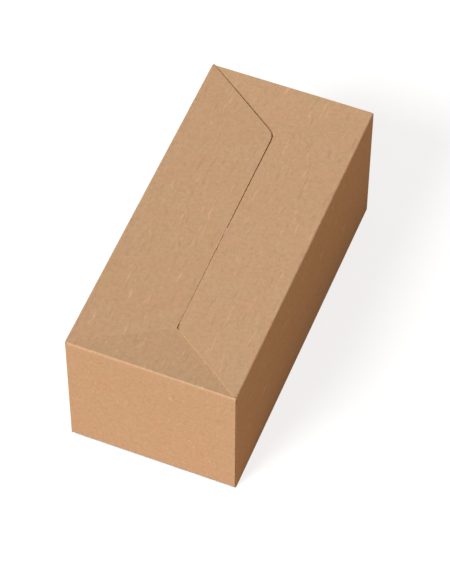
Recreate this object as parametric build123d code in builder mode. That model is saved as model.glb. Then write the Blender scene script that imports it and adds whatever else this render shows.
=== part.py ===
"""Auto-lock folding carton of plain kraft board, closed and standing on its tuck lid.

The carton is one die-cut blank: four walls, a glue tab, two long base flaps whose creased
corners are glued to the end flaps, two dust flaps, and a lid. The lid turns about the bottom
fold of the right wall, so it is a piece of its own here.

Frame: origin in the middle of the rest face, +X across the carton, +Y along it, +Z up.
The glued base faces up and the lid faces down.
"""
from build123d import *
from math import asin, cos, sin
import os

# Overall size of the closed carton
width = 100.0
length = 214.0
height = 89.0

# Board and folds
board = 0.7  # thickness of the sheet
fold_radius = 1.1  # outside radius of every fold
edge_setback = 0.5  # how far a cut edge stands back from the face that it ends at

# Glue tab behind the near wall
glue_tab = 14.0
glue_tab_inset = 6.0

# Base: centre seam and glued corners
seam_offset = 2.2  # from the middle towards the right wall
seam_gap = 0.4  # between the two cut edges of a seam
far_seam_inset = 36.5  # far end of the centre seam, from the far wall
near_seam_inset = 33.0  # near end of the centre seam, from the near wall

# Base: end flaps and locking tongues, under the long flaps
end_flap_reach = 46.0
end_flap_taper = 9.0  # how much an end flap narrows on each side
tongue_root = 8.0  # how far a tongue lies under its own flap
tongue_reach = 22.0  # how far it reaches under the other flap
tongue_taper = 9.0
tongue_inset = 1.5  # from the ends of its half of the seam

# Dust flaps, behind the lid
dust_reach = 46.0
dust_taper = 5.0
tuck_room = 8.0  # passage for the tuck flap beside the dust flaps

# Lid
tuck_reach = 16.0
tuck_end_inset = 8.0
tuck_corner = 9.0
tuck_gap = 0.35  # between the tuck flap and the left wall

# Worked out from the sizes above
mid_radius = fold_radius - board / 2
right = width / 2
back = length / 2
under_base = height - board  # outer faces of the end flaps, and undersides of the long flaps
fold_root = back - fold_radius  # where a flap leaves its fold at an end wall
wall_top = height - fold_radius - board  # where the long walls meet their top folds
end_flap_side = right - board - edge_setback
seam_far = back - far_seam_inset
seam_near = near_seam_inset - back
seam_middle = (seam_far + seam_near) / 2
tuck_lean = asin((tuck_reach + board) / (2 * (width - 2 * board)))
tuck_fold = 1.5 * board + tuck_gap - right  # middle of the board where the lid turns up


def fold_column(centre, start_angle):
    """A vertical fold: a quarter ring of board, as tall as the end walls."""
    with BuildSketch(Plane.XY.offset(board)) as section:
        with BuildLine():
            CenterArc(centre, mid_radius, start_angle, 90)
        trace(line_width=board)
    extrude(section.sketch, amount=under_base - board)


def end_wall(side, x_start, x_end):
    """An end wall with the roots of its end flap and dust flap folded inwards."""
    face = side * (back - board / 2)
    root = side * (fold_root - board)
    with BuildSketch(Plane.YZ.offset(x_start)) as section:
        with BuildLine():
            FilletPolyline(
                (root, 1.5 * board),
                (face, 1.5 * board),
                (face, under_base - board / 2),
                (root, under_base - board / 2),
                radius=mid_radius,
            )
        trace(line_width=board)
    extrude(section.sketch, amount=x_end - x_start)


def flat_flap(level, *outline):
    """A flat flap with the given outline, its lower face at the given level."""
    with BuildSketch(Plane.XY.offset(level)) as shape:
        with BuildLine():
            Polyline(*outline, close=True)
        make_face()
    extrude(shape.sketch, amount=board)


def corner_outline(side, seam_end):
    """The triangle beyond a crease: fold corner, seam end, and the corner that it dips to."""
    across = side * (right - fold_radius)
    along = side * (back - edge_setback)
    return [(across, along), (seam_offset, seam_end), (-across, along)]


def clear_corner(outline):
    """Opens the long flaps over a glued corner."""
    with BuildSketch(Plane.XY.offset(under_base)) as shape:
        with BuildLine():
            Polyline(*outline, close=True)
        make_face()
    extrude(shape.sketch, amount=board, mode=Mode.SUBTRACT)


def glued_corner(outline):
    """A glued corner: level along its crease, one board lower where the other flap covers it."""
    crease_start = Vector(*outline[0], height)
    crease_end = Vector(*outline[1], height)
    dipped = Vector(*outline[2], under_base)
    normal = (crease_end - crease_start).cross(dipped - crease_start).normalized()
    if normal.Z < 0:
        normal = -normal
    plane = Plane(origin=crease_start, x_dir=crease_end - crease_start, z_dir=normal)
    local = [plane.to_local_coords(point) for point in (crease_start, crease_end, dipped)]
    with BuildSketch(plane) as shape:
        with BuildLine():
            Polyline(*[(point.X, point.Y) for point in local], close=True)
        make_face()
    extrude(shape.sketch, amount=-board)


with BuildPart() as carton:
    # Long flaps of the base, with the folds that they hang on
    with BuildSketch(Plane.XZ):
        with BuildLine():
            FilletPolyline(
                (board / 2 - right, wall_top),
                (board / 2 - right, height - board / 2),
                (right - board / 2, height - board / 2),
                (right - board / 2, wall_top),
                radius=mid_radius,
            )
        trace(line_width=board)
    extrude(amount=back - edge_setback, both=True)
    near_corner = corner_outline(-1, seam_near)
    far_corner = corner_outline(1, seam_far)
    clear_corner(near_corner)
    clear_corner(far_corner)

    # Left wall: its bottom edge is the raw edge that the tuck flap slides behind
    with BuildSketch(Plane.XZ.offset(-fold_root)):
        with BuildLine():
            Polyline(
                (-right, 0),
                (board - right, 0),
                (board - right, wall_top),
                (-right, wall_top),
                close=True,
            )
        make_face()
    extrude(amount=2 * fold_root)

    # Right wall: its bottom edge is half of the lid's crease
    with BuildSketch(Plane.XZ.offset(-fold_root)):
        with BuildLine():
            Polyline(
                (right, 0),
                (right, wall_top),
                (right - board, wall_top),
                (right - board, board),
                close=True,
            )
        make_face()
    extrude(amount=2 * fold_root - board)

    # End walls, and the vertical folds that join the walls
    end_wall(1, fold_radius - right, right - fold_radius)
    end_wall(-1, fold_radius - right, right - edge_setback)
    fold_column((fold_radius - right, -fold_root), 180)
    fold_column((fold_radius - right, fold_root), 90)
    fold_column((right - fold_radius, fold_root), 0)
    fold_column((right - fold_radius, board - fold_root), 270)

    # Glue tab of the right wall, stuck to the inside of the near wall
    with BuildSketch(Plane.XZ.offset(back - board)):
        with BuildLine():
            Polyline(
                (right - fold_radius, 2 * board),
                (right - fold_radius, under_base - board),
                (right - glue_tab, under_base - glue_tab_inset),
                (right - glue_tab, board + glue_tab_inset),
                close=True,
            )
        make_face()
    extrude(amount=-board)

    # End flaps and dust flaps
    for side in (1, -1):
        tip = side * (back - end_flap_reach)
        flat_flap(
            under_base - board,
            (-end_flap_side, side * fold_root),
            (end_flap_side, side * fold_root),
            (end_flap_side - end_flap_taper, tip),
            (end_flap_taper - end_flap_side, tip),
        )
        tip = side * (back - dust_reach)
        flat_flap(
            board,
            (tuck_room - right, side * fold_root),
            (end_flap_side, side * fold_root),
            (end_flap_side - dust_taper, tip),
            (tuck_room + dust_taper - right, tip),
        )

    # Locking tongues: the left flap's under the near half of the seam, the right flap's
    # under the far half
    for side, seam_end in ((1, seam_near), (-1, seam_far)):
        outwards = 1 if seam_end > seam_middle else -1
        first = seam_middle + outwards * tongue_inset
        last = seam_end - outwards * tongue_inset
        flat_flap(
            under_base - board,
            (seam_offset - side * tongue_root, first),
            (seam_offset + side * tongue_reach, first + outwards * tongue_taper),
            (seam_offset + side * tongue_reach, last - outwards * tongue_taper),
            (seam_offset - side * tongue_root, last),
        )

    # Glued corners, then the slit along all the cut edges
    glued_corner(near_corner)
    glued_corner(far_corner)
    with BuildSketch(Plane.XY.offset(under_base)):
        with BuildLine():
            Polyline(far_corner[2], far_corner[1], near_corner[1], near_corner[2])
        trace(line_width=seam_gap)
    extrude(amount=board, mode=Mode.SUBTRACT)

carton.part.label = "carton"

with BuildPart() as lid:
    # Lid panel, with its half of the crease at the right wall
    with BuildSketch(Plane.XZ):
        with BuildLine():
            Polyline(
                (right, 0),
                (right - board, board),
                (tuck_fold + mid_radius, board),
                (tuck_fold + mid_radius, 0),
                close=True,
            )
        make_face()
    extrude(amount=back - edge_setback, both=True)

    # Tuck flap: it leans inwards by as much as its swing past the left wall needs
    with BuildSketch(Plane.XZ):
        with BuildLine():
            FilletPolyline(
                (tuck_fold + fold_radius, board / 2),
                (tuck_fold, board / 2),
                (tuck_fold + tuck_reach * sin(tuck_lean), board / 2 + tuck_reach * cos(tuck_lean)),
                radius=mid_radius,
            )
        trace(line_width=board)
    extrude(amount=back - tuck_end_inset, both=True)
    tip_corners = lid.edges().filter_by(lambda edge: abs(edge.length - board) < board / 100)
    fillet(tip_corners.group_by(Axis.Z)[-1], radius=tuck_corner)

lid.part.label = "lid"

os.makedirs("parts", exist_ok=True)
export_step(carton.part, "parts/carton.step")
export_step(lid.part, "parts/lid.step")
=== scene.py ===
"""Looks of a closed kraft carton: one creased sheet of board, lying on its lid, base up.

Every piece of board is a surface worked out on a grid, given the board's thickness and closed at
its cut edges. The base is not quite flat: its glued corners dip towards the ends of the centre
seam, and each long flap lies over the other flap's corner along a diagonal cut edge.
"""
import math

import bpy
import numpy as np
from mathutils import Matrix, Vector


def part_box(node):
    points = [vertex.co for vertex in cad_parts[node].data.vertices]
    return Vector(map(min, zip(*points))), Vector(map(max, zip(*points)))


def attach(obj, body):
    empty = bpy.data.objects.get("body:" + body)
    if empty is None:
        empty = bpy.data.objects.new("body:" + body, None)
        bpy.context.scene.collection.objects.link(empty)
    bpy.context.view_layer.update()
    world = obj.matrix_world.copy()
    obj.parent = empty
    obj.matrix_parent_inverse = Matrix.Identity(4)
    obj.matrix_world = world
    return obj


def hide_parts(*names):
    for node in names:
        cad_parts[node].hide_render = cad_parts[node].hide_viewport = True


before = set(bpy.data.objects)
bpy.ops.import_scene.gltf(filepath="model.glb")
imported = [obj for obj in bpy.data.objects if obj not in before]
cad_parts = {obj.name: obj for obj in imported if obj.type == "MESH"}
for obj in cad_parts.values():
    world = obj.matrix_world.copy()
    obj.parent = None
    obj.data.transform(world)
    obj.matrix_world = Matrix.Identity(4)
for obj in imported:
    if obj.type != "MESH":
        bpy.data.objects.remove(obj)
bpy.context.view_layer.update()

MM = 0.001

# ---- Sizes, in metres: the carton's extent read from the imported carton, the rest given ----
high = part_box("carton")[1]
RIGHT = high.x
BACK = high.y
TOP = high.z

BOARD = 0.7 * MM
FOLD = 1.1 * MM  # outside radius of a fold
SETBACK = 0.5 * MM  # how far a cut edge stands back from the face that it ends at
LAP = 0.03 * MM  # how far neighbouring stretches of one sheet run into each other
PANEL_BOW = 0.30 * MM  # how far the middle of a wall bows inwards

SEAM_X = 2.2 * MM
SEAM_GAP = 0.36 * MM
SEAM_NEAR = -BACK + 32.8 * MM
SEAM_FAR = BACK - 36.5 * MM
SEAM_ROUND = 1.2 * MM  # how softly a cut edge turns at the ends of the centre seam
NEAR_DIP = 2.6 * MM  # how deep the base lies at the near end of the seam
FAR_DIP = 1.2 * MM
LAP_STEP = 0.78 * MM  # from the upper flap down to the lower one, where they lap
CORNER_STEP = 0.35 * MM  # the same at the carton's corner
CORNER_BEND = 0.35 * MM  # how much further a glued corner bends down half way along
CORNER_POWER = 1.6  # how late that bend comes, on the way to the covering edge
LEAST_STRIP = 0.4 * MM  # the narrowest strip between a crease and a cut edge
TUCK_UNDER = 9.0 * MM  # how far a glued corner reaches under the other flap

GLUE_TAB = 14.0 * MM
GLUE_TAB_INSET = 6.0 * MM
END_FLAP_REACH = 46.0 * MM
END_FLAP_TAPER = 9.0 * MM
DUST_REACH = 46.0 * MM
DUST_TAPER = 5.0 * MM
FLAP_ROOT = 1.5 * MM  # over which a flap draws in from its wall's width
FLAP_ROOM = 0.2 * MM  # how far an end flap stands in on the left
TUCK_ROOM = 8.0 * MM
TONGUE_REACH = 22.0 * MM
TONGUE_ROOT = 8.0 * MM
TONGUE_TAPER = 9.0 * MM
TONGUE_INSET = 1.5 * MM
TONGUE_ROOM = 0.08 * MM
TAB_ROOM = 0.02 * MM

TUCK_REACH = 16.0 * MM
TUCK_GAP = 0.35 * MM
TUCK_END_INSET = 8.0 * MM
TUCK_CORNER = 9.0 * MM

ARC_STEPS = 14


# ---- Sheets of board ----
def grid_normals(points):
    """Unit normals of a grid of points: the cross product of its two grid directions."""
    along_rows = np.gradient(points, axis=0)
    along_columns = np.gradient(points, axis=1)
    normals = np.cross(along_rows, along_columns)
    return normals / np.linalg.norm(normals, axis=2, keepdims=True)


def closed_sheet(outer, thickness=BOARD):
    """A closed sheet: the outer grid, a copy moved inwards along its normals by the thickness,
    and a strip of faces round the rim. The grid's rows and columns turn so that its normals
    face outwards. Returns vertices, quads, and which quads are cut edges."""
    rows, columns = outer.shape[:2]
    inner = outer - thickness * grid_normals(outer)
    vertices = np.concatenate([outer.reshape(-1, 3), inner.reshape(-1, 3)])
    number = np.arange(rows * columns).reshape(rows, columns)
    skin = np.stack(
        [number[:-1, :-1], number[1:, :-1], number[1:, 1:], number[:-1, 1:]], axis=-1
    ).reshape(-1, 4)
    rim = np.concatenate(
        [number[:-1, 0], number[-1, :-1], number[:0:-1, -1], number[0, :0:-1]]
    )
    following = np.roll(rim, -1)
    below = rows * columns
    edge = np.stack([rim, rim + below, following + below, following], axis=-1)
    quads = np.concatenate([skin, skin[:, ::-1] + below, edge])
    is_edge = np.repeat([0, 0, 1], [len(skin), len(skin), len(edge)])
    return vertices, quads, is_edge


def make_board(name, sheets, materials):
    """One mesh object of several closed sheets, shaded smooth over folds and sharp at cuts."""
    vertices = np.concatenate([sheet[0] for sheet in sheets])
    starts = np.cumsum([0] + [len(sheet[0]) for sheet in sheets[:-1]])
    quads = np.concatenate([sheet[1] + start for sheet, start in zip(sheets, starts)])
    slots = np.concatenate([sheet[2] for sheet in sheets])
    mesh = bpy.data.meshes.new(name)
    mesh.from_pydata(vertices, [], quads)
    mesh.polygons.foreach_set("material_index", slots.astype(np.int32))
    mesh.polygons.foreach_set("use_smooth", np.ones(len(quads), bool))
    mesh.set_sharp_from_angle(angle=math.radians(30))
    for material in materials:
        mesh.materials.append(material)
    mesh.validate()
    mesh.update()
    piece = bpy.data.objects.new(name, mesh)
    bpy.context.scene.collection.objects.link(piece)
    return piece


def spread(*stops, steps):
    """Values that run through the stops in turn, with that many even steps between each two."""
    stretches = [
        np.linspace(a, b, n, endpoint=False) for a, b, n in zip(stops, stops[1:], steps)
    ]
    return np.concatenate([*stretches, [stops[-1]]])


def swell(u):
    """0 at both ends of 0 to 1 and 1 in the middle, as a parabola."""
    return 4 * u * (1 - u)


# ---- The base: outlines and dips ----
def soft_ramp(distance):
    """The distance where it is well above 0, and 0 where it is well below, with a soft bend:
    k ln(1 + exp(d / k))."""
    return SEAM_ROUND * np.logaddexp(0, distance / SEAM_ROUND)


def near_cut(y):
    """X of the cut edge of the right flap: the centre seam, then a straight run to the near
    right corner."""
    run = (RIGHT - FOLD - SEAM_X) / (SEAM_NEAR + BACK - SETBACK)
    return SEAM_X + run * soft_ramp(SEAM_NEAR - y)


def far_cut(y):
    """X of the cut edge of the left flap: the centre seam, then a run to the far left corner."""
    run = (RIGHT - FOLD + SEAM_X) / (BACK - SETBACK - SEAM_FAR)
    return SEAM_X - run * soft_ramp(y - SEAM_FAR)


def near_share(y):
    """0 at the near wall, 1 at the near end of the seam and past it."""
    return np.clip((y + BACK) / (SEAM_NEAR + BACK), 0, 1)


def far_share(y):
    """0 at the far wall, 1 at the far end of the seam and before it."""
    return np.clip((BACK - y) / (BACK - SEAM_FAR), 0, 1)


def smooth_share(y):
    """0 up to the near end of the seam and 1 from its far end, as a smooth step."""
    t = np.clip((y - SEAM_NEAR) / (SEAM_FAR - SEAM_NEAR), 0, 1)
    return t * t * (3 - 2 * t)


def flap_dip(x, y, side):
    """Depth of a long flap below the top, level at its fold and deepest at the seam.
    side is -1 for the left flap, which lies lower at the near end of the seam, and 1 for the
    right flap, which lies lower at the far end. Along the fold of its own glued corner the
    depth over distance stays even, so that stretch is a plane."""
    near = NEAR_DIP if side < 0 else NEAR_DIP - LAP_STEP
    far = FAR_DIP if side > 0 else FAR_DIP - LAP_STEP
    at_seam = near + (far - near) * smooth_share(y)
    from_fold = (RIGHT - side * x) / (RIGHT - side * SEAM_X)
    return at_seam * np.clip(from_fold, 0, None)


def corner_dip(across, share, dip):
    """Depth of a glued corner. share runs from 0 at the end wall to 1 at the seam's end, and
    across from 0 at the crease to 1 at the cut edge that covers it."""
    at_crease = dip * share
    at_cut = CORNER_STEP + (dip - CORNER_STEP) * share
    bend = swell(np.clip(share, 0, 1)) * CORNER_BEND
    curve = np.clip(across, 0, None) ** CORNER_POWER
    return at_crease + (at_cut - at_crease + bend) * curve


def long_band(side):
    """A long wall with its base flap and the glued corner beyond the flap's crease, as one
    folded sheet. Rows run along the carton; columns run up the wall, round the fold, across
    the flap to the crease and on under the other flap. side is -1 for left, 1 for right.
    The right band's glued corner is at the far end, with a dip of its own."""
    rows = spread(
        -BACK + SETBACK, SEAM_NEAR, SEAM_FAR, BACK - SETBACK, steps=(44, 60, 44)
    )
    y = rows[:, None]
    if side < 0:
        share, dip = near_share(y), NEAR_DIP
        corner_edge = near_cut(y) + TUCK_UNDER * (1 - share) ** 0.5 * np.minimum(1, 4 * share)
        cut = np.where(y < SEAM_NEAR, corner_edge, far_cut(y) - SEAM_GAP / 2)
        crease = SEAM_X - (RIGHT + SEAM_X) * (1 - share)
        line = near_cut(y)
        in_corner = y < SEAM_NEAR
    else:
        share, dip = far_share(y), FAR_DIP
        corner_edge = far_cut(y) - TUCK_UNDER * (1 - share) ** 0.5 * np.minimum(1, 4 * share)
        cut = np.where(y > SEAM_FAR, corner_edge, near_cut(y) + SEAM_GAP / 2)
        crease = SEAM_X + (RIGHT - SEAM_X) * (1 - share)
        line = far_cut(y)
        in_corner = y > SEAM_FAR
    fold_end = side * (RIGHT - FOLD)
    crease = np.where(in_corner, crease, cut + side * LEAST_STRIP)
    crease = side * np.clip(side * crease, side * cut + LEAST_STRIP, RIGHT - FOLD - LEAST_STRIP)

    # Wall and fold
    lift = spread(0, TOP - FOLD, steps=(14,))
    turn = spread(0, math.pi / 2, steps=(ARC_STEPS,))[1:]
    column_z = np.concatenate([lift, TOP - FOLD + FOLD * np.sin(turn)])[None, :]
    column_in = np.concatenate([0 * lift, FOLD - FOLD * np.cos(turn)])[None, :]
    flap_share = np.concatenate([0 * lift, np.sin(turn)])[None, :]
    limit = BACK - FOLD + LAP
    wall_y = np.clip(y, -limit, limit) * (1 - flap_share) + y * flap_share
    bow = PANEL_BOW * swell((wall_y / (2 * limit)) + 0.5) * swell(np.clip(column_z / TOP, 0, 1))
    wall_x = side * (RIGHT - column_in - bow)
    wall_z = np.broadcast_to(column_z, wall_x.shape)

    # Flap up to its crease, then the glued corner
    u = spread(0, 1, steps=(40,))[None, 1:]
    flap_x = fold_end + (crease - fold_end) * u
    w = spread(0, 1, steps=(36,))[None, 1:]
    corner_x = crease + (cut - crease) * w
    flap_z = TOP - flap_dip(flap_x, y, side)
    across = (corner_x - crease) / np.where(in_corner, line - crease, 1)
    corner_z = TOP - np.where(
        in_corner, corner_dip(across, share, dip), flap_dip(corner_x, y, side)
    )
    ones = np.ones_like(flap_x)
    x = np.concatenate([wall_x, flap_x, corner_x], axis=1)
    z = np.concatenate([wall_z, flap_z, corner_z], axis=1)
    grid_y = np.concatenate([wall_y, y * ones, y * np.ones_like(corner_x)], axis=1)
    points = np.stack([x, grid_y, z], axis=-1)
    return closed_sheet(points if side > 0 else points[::-1])


def end_band(side):
    """An end wall with its end flap and dust flap: columns run in along the dust flap, round
    its fold, up the wall, round the top fold and along the end flap under the base. Rows run
    across the carton. side is -1 for the near end, 1 for the far one."""
    left = FOLD - RIGHT - LAP
    right = RIGHT - SETBACK if side < 0 else RIGHT - FOLD + LAP
    dip = NEAR_DIP / (SEAM_NEAR + BACK) if side < 0 else FAR_DIP / (BACK - SEAM_FAR)
    top = TOP - BOARD
    turn = spread(0, math.pi / 2, steps=(ARC_STEPS,))
    dust = spread(DUST_REACH, FOLD, steps=(10,))[:-1]
    flap = spread(FOLD, END_FLAP_REACH, steps=(12,))[1:]
    lift = spread(BOARD + FOLD, top - FOLD, steps=(14,))[1:-1]
    inwards = np.concatenate(
        [dust, FOLD - FOLD * np.sin(turn), 0 * lift, FOLD - FOLD * np.cos(turn), flap]
    )
    z = np.concatenate(
        [
            0 * dust + BOARD,
            BOARD + FOLD - FOLD * np.cos(turn),
            lift,
            top - FOLD + FOLD * np.sin(turn),
            top - dip * (flap - FOLD),
        ]
    )
    # How far each column's two sides stand in from the wall's sides
    reach = np.clip(inwards - FOLD, 0, None)
    is_dust = z < BOARD + FOLD / 2
    taper = np.where(is_dust, DUST_TAPER / DUST_REACH, END_FLAP_TAPER / END_FLAP_REACH)
    step = np.clip(reach / FLAP_ROOT, 0, 1)
    room = np.where(is_dust, TUCK_ROOM - FOLD, FLAP_ROOM)
    right_room = BOARD if right > RIGHT - BOARD - SETBACK else 0
    left_side = left + step * room + taper * reach
    right_side = right - step * right_room - taper * reach
    across = spread(0, 1, steps=(40,))[:, None]
    x = left_side + (right_side - left_side) * across
    bow = PANEL_BOW * swell(across) * swell(np.clip(z / TOP, 0, 1)) * (inwards < FOLD / 2)
    y = side * (BACK - inwards - bow)
    points = np.stack([x, y, np.broadcast_to(z, x.shape)], axis=-1)
    return closed_sheet(points[::-1] if side > 0 else points)


def corner_fold(centre_x, centre_y, start):
    """A vertical fold: a quarter turn of board from the start angle, between the end folds."""
    turn = spread(start, start + math.pi / 2, steps=(ARC_STEPS,))[:, None]
    z = spread(BOARD, TOP - BOARD, steps=(6,))[None, :]
    x = centre_x + FOLD * np.cos(turn) + 0 * z
    y = centre_y + FOLD * np.sin(turn) + 0 * z
    return closed_sheet(np.stack([x, y, z + 0 * x], axis=-1))


def glue_tab():
    """The tab that the right wall turns behind the near wall, narrowing from its fold."""
    share = spread(0, 1, steps=(10,))[:, None]
    up = spread(0, 1, steps=(10,))[None, :]
    x = RIGHT - FOLD + LAP - (GLUE_TAB - FOLD) * share + 0 * up
    low_z = BOARD + GLUE_TAB_INSET * share
    high_z = TOP - BOARD - GLUE_TAB_INSET * share
    z = low_z + (high_z - low_z) * up
    y = np.full_like(x, -BACK + BOARD + TAB_ROOM)
    return closed_sheet(np.stack([x, y, z], axis=-1)[::-1])


def tongue(side):
    """A locking tongue under the base: it belongs to the left flap (side 1) in the near half of
    the seam and to the right flap (side -1) in the far half, and narrows towards its tip."""
    middle = (SEAM_NEAR + SEAM_FAR) / 2
    first = middle - side * TONGUE_INSET
    last = (SEAM_NEAR if side > 0 else SEAM_FAR) + side * TONGUE_INSET
    share = spread(0, 1, steps=(14,))[:, None]
    along = spread(0, 1, steps=(30,))[None, :]
    x = SEAM_X + side * (-TONGUE_ROOT + (TONGUE_ROOT + TONGUE_REACH) * share) + 0 * along
    narrow = TONGUE_TAPER * share * (-side)
    y = (first + narrow) + (last - first - 2 * narrow) * along
    dip = NEAR_DIP + (FAR_DIP - NEAR_DIP) * smooth_share(y)
    z = TOP - BOARD - TONGUE_ROOM - dip
    points = np.stack([x, y, z], axis=-1)
    return closed_sheet(points[::-1] if side * (last - first) < 0 else points)


def lid_sheet():
    """The lid: from its crease at the right wall across the mouth, round the tuck fold and up
    the leaning tuck flap. Columns run across, rows along; the tuck flap's ends draw in and its
    free corners are rounded."""
    lean = math.asin((TUCK_REACH + BOARD) / (2 * (2 * RIGHT - 2 * BOARD)))
    fold_x = -RIGHT + BOARD + TUCK_GAP
    panel = spread(RIGHT, fold_x + FOLD, steps=(40,))
    turn = spread(0, math.pi / 2 - lean, steps=(ARC_STEPS,))[1:]
    arc_x = fold_x + FOLD - FOLD * np.sin(turn)
    arc_z = FOLD - FOLD * np.cos(turn)
    rise = spread(0, TUCK_REACH - FOLD, steps=(14,))[1:]
    x = np.concatenate([panel, arc_x, arc_x[-1] + rise * math.sin(lean)])
    z = np.concatenate([0 * panel, arc_z, arc_z[-1] + rise * math.cos(lean)])
    to_tip = np.concatenate([0 * panel, 0 * arc_x, -FOLD - rise]) + TUCK_REACH
    rounding = np.clip(TUCK_CORNER - to_tip, 0, None)
    drawn = TUCK_CORNER - np.sqrt(np.clip(TUCK_CORNER**2 - rounding**2, 0, None))
    is_tuck = np.concatenate([0 * panel, 0 * arc_x + 1, 0 * rise + 1])
    half = BACK - SETBACK - is_tuck * (TUCK_END_INSET - SETBACK) - drawn
    along = spread(-1, 1, steps=(60,))[:, None]
    y = along * half
    points = np.stack([x + 0 * y, y, z + 0 * y], axis=-1)
    return closed_sheet(points)


# ---- Materials ----
def new_material(name):
    material = bpy.data.materials.new(name)
    material.use_nodes = True
    nodes = material.node_tree.nodes
    nodes.clear()
    return material, nodes, material.node_tree.links


def kraft_board(name, base, contrast):
    """Uncoated kraft board: soft blotches, a fine mottle, short fibres that lie mostly along
    the sheet, and a few dark specks, over a faintly rough surface."""
    material, nodes, links = new_material(name)
    output = nodes.new("ShaderNodeOutputMaterial")
    shader = nodes.new("ShaderNodeBsdfPrincipled")
    shader.inputs["Roughness"].default_value = 0.82
    shader.inputs["Specular IOR Level"].default_value = 0.18
    links.new(shader.outputs["BSDF"], output.inputs["Surface"])
    place = nodes.new("ShaderNodeTexCoord").outputs["Object"]

    def noise(scale, detail, stretch=(1, 1, 1), turn=(0, 0, 0), roughness=0.55):
        mapping = nodes.new("ShaderNodeMapping")
        mapping.inputs["Scale"].default_value = stretch
        mapping.inputs["Rotation"].default_value = [math.radians(a) for a in turn]
        links.new(place, mapping.inputs["Vector"])
        node = nodes.new("ShaderNodeTexNoise")
        node.inputs["Scale"].default_value = scale
        node.inputs["Detail"].default_value = detail
        node.inputs["Roughness"].default_value = roughness
        links.new(mapping.outputs["Vector"], node.inputs["Vector"])
        return node.outputs["Fac"]

    def remap(value, low_in, high_in, low_out, high_out):
        node = nodes.new("ShaderNodeMapRange")
        node.inputs["From Min"].default_value = low_in
        node.inputs["From Max"].default_value = high_in
        node.inputs["To Min"].default_value = low_out
        node.inputs["To Max"].default_value = high_out
        links.new(value, node.inputs["Value"])
        return node.outputs["Result"]

    def tint(colour, factor, other):
        node = nodes.new("ShaderNodeMix")
        node.data_type = "RGBA"
        links.new(factor, node.inputs["Factor"])
        if hasattr(colour, "is_linked"):
            links.new(colour, node.inputs["A"])
        else:
            node.inputs["A"].default_value = (*colour, 1)
        node.inputs["B"].default_value = (*other, 1)
        return node.outputs["Result"]

    def shade(gain_r, gain_g, gain_b):
        return (base[0] * gain_r, base[1] * gain_g, base[2] * gain_b)

    colour = tint(base, remap(noise(55, 2), 0.42, 0.66, 0, contrast), shade(1.03, 0.95, 0.95))
    cool = remap(noise(38, 2, turn=(20, 40, 0)), 0.5, 0.72, 0, contrast)
    colour = tint(colour, cool, shade(0.97, 1.0, 0.93))
    colour = tint(colour, remap(noise(420, 3), 0.40, 0.70, 0, contrast), shade(0.88, 0.86, 0.84))
    colour = tint(colour, remap(noise(900, 2), 0.55, 0.75, 0, contrast), shade(1.12, 1.12, 1.14))
    for turn, side in (((0, 0, 25), 0.80), ((0, 0, -50), 1.22), ((65, 0, 70), 0.82)):
        fibre = noise(520, 2, stretch=(1, 0.16, 0.6), turn=turn)
        colour = tint(colour, remap(fibre, 0.64, 0.74, 0, contrast), shade(side, side, side))
    speck = nodes.new("ShaderNodeTexVoronoi")
    speck.inputs["Scale"].default_value = 95
    links.new(place, speck.inputs["Vector"])
    dark = remap(speck.outputs["Distance"], 0.055, 0.03, 0, 0.5)
    colour = tint(colour, dark, shade(0.5, 0.42, 0.36))
    links.new(colour, shader.inputs["Base Color"])

    bump = nodes.new("ShaderNodeBump")
    bump.inputs["Strength"].default_value = 0.35
    bump.inputs["Distance"].default_value = 0.06 * MM
    links.new(noise(700, 4, roughness=0.6), bump.inputs["Height"])
    links.new(bump.outputs["Normal"], shader.inputs["Normal"])
    return material


def floor_material():
    """A white floor: it keeps a soft shadow, and what the carton sees of it is a warm table."""
    material, nodes, links = new_material("floor_white")
    output = nodes.new("ShaderNodeOutputMaterial")
    paths = nodes.new("ShaderNodeLightPath")
    lit = nodes.new("ShaderNodeBsdfDiffuse")
    lit.inputs["Color"].default_value = (0.30, 0.30, 0.30, 1)
    glow = nodes.new("ShaderNodeEmission")
    glow.inputs["Strength"].default_value = 0.78
    seen = nodes.new("ShaderNodeAddShader")
    links.new(lit.outputs["BSDF"], seen.inputs[0])
    links.new(glow.outputs["Emission"], seen.inputs[1])
    table = nodes.new("ShaderNodeBsdfDiffuse")
    table.inputs["Color"].default_value = (0.46, 0.30, 0.17, 1)
    pick = nodes.new("ShaderNodeMixShader")
    links.new(paths.outputs["Is Camera Ray"], pick.inputs["Fac"])
    links.new(table.outputs["BSDF"], pick.inputs[1])
    links.new(seen.outputs["Shader"], pick.inputs[2])
    links.new(pick.outputs["Shader"], output.inputs["Surface"])
    return material


# ---- The carton ----
KRAFT = (0.535, 0.335, 0.192)
CUT_EDGE = (0.62, 0.42, 0.26)
face_material = kraft_board("kraft_face", KRAFT, 0.8)
edge_material = kraft_board("kraft_cut_edge", CUT_EDGE, 0.9)
finish = (face_material, edge_material)

carton = make_board(
    "carton_board",
    [
        long_band(-1),
        long_band(1),
        end_band(-1),
        end_band(1),
        corner_fold(FOLD - RIGHT, FOLD - BACK, math.pi),
        corner_fold(FOLD - RIGHT, BACK - FOLD, math.pi / 2),
        corner_fold(RIGHT - FOLD, BACK - FOLD, 0),
        corner_fold(RIGHT - FOLD, FOLD + BOARD - BACK, -math.pi / 2),
        glue_tab(),
        tongue(1),
        tongue(-1),
    ],
    finish,
)
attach(carton, "carton")
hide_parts("carton")

lid = make_board("lid_board", [lid_sheet()], finish)
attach(lid, "lid")
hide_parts("lid")


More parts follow.
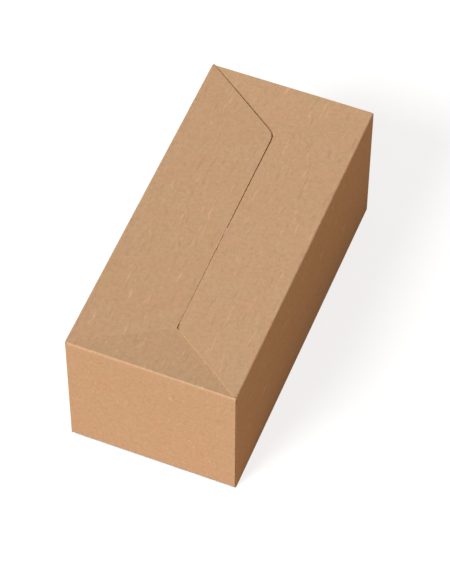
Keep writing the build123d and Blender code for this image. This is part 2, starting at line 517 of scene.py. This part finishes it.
# ---- Floor, light and camera ----
def make_floor():
    """A wide flat floor under the carton."""
    half = 6.0
    mesh = bpy.data.meshes.new("floor")
    corners = np.array([(-half, -half, 0), (half, -half, 0), (half, half, 0), (-half, half, 0)])
    mesh.from_pydata(corners, [], [(0, 1, 2, 3)])
    mesh.materials.append(floor_material())
    floor = bpy.data.objects.new("floor", mesh)
    bpy.context.scene.collection.objects.link(floor)
    return floor


def aim(obj, backwards, roll=0.0):
    """Turns a lamp or camera so that it looks against the backwards direction."""
    turned = (-Vector(backwards)).to_track_quat("-Z", "Y").to_matrix().to_4x4()
    obj.matrix_world = Matrix.Translation(obj.location) @ turned @ Matrix.Rotation(roll, 4, "Z")


def make_sun(name, towards, strength, softness, colour=(1, 1, 1)):
    lamp = bpy.data.lights.new(name, "SUN")
    lamp.energy = strength
    lamp.angle = math.radians(softness)
    lamp.color = colour
    sun = bpy.data.objects.new(name, lamp)
    bpy.context.scene.collection.objects.link(sun)
    aim(sun, towards)
    return sun


make_floor()
make_sun("key", (-0.35, -0.70, 0.62), 3.5, 24)
make_sun("warm_fill", (0.9, 0.1, 0.35), 0.45, 60, (1.0, 0.62, 0.28))

world = bpy.data.worlds.new("studio")
bpy.context.scene.world = world
world.use_nodes = True
sky = world.node_tree.nodes["Background"]
rays = world.node_tree.nodes.new("ShaderNodeLightPath")
level = world.node_tree.nodes.new("ShaderNodeMapRange")
level.inputs["To Min"].default_value = 0.30
level.inputs["To Max"].default_value = 1.0
world.node_tree.links.new(rays.outputs["Is Camera Ray"], level.inputs["Value"])
world.node_tree.links.new(level.outputs["Result"], sky.inputs["Strength"])
sky.inputs["Color"].default_value = (1, 1, 1, 1)

AZIMUTH, ELEVATION, ROLL = math.radians(21.67), math.radians(53.66), math.radians(0.23)
AIM = Vector((4.2 * MM, -8.7 * MM, TOP / 2))
DISTANCE = 1.568
camera_data = bpy.data.cameras.new("camera")
camera_data.lens = 174.4
camera_data.sensor_width = 36
camera = bpy.data.objects.new("camera", camera_data)
bpy.context.scene.collection.objects.link(camera)
backwards = Vector(
    (
        math.sin(AZIMUTH) * math.cos(ELEVATION),
        -math.cos(AZIMUTH) * math.cos(ELEVATION),
        math.sin(ELEVATION),
    )
)
camera.location = AIM + DISTANCE * backwards
aim(camera, backwards, ROLL)
bpy.context.scene.camera = camera
bpy.context.scene.view_settings.view_transform = "Standard"
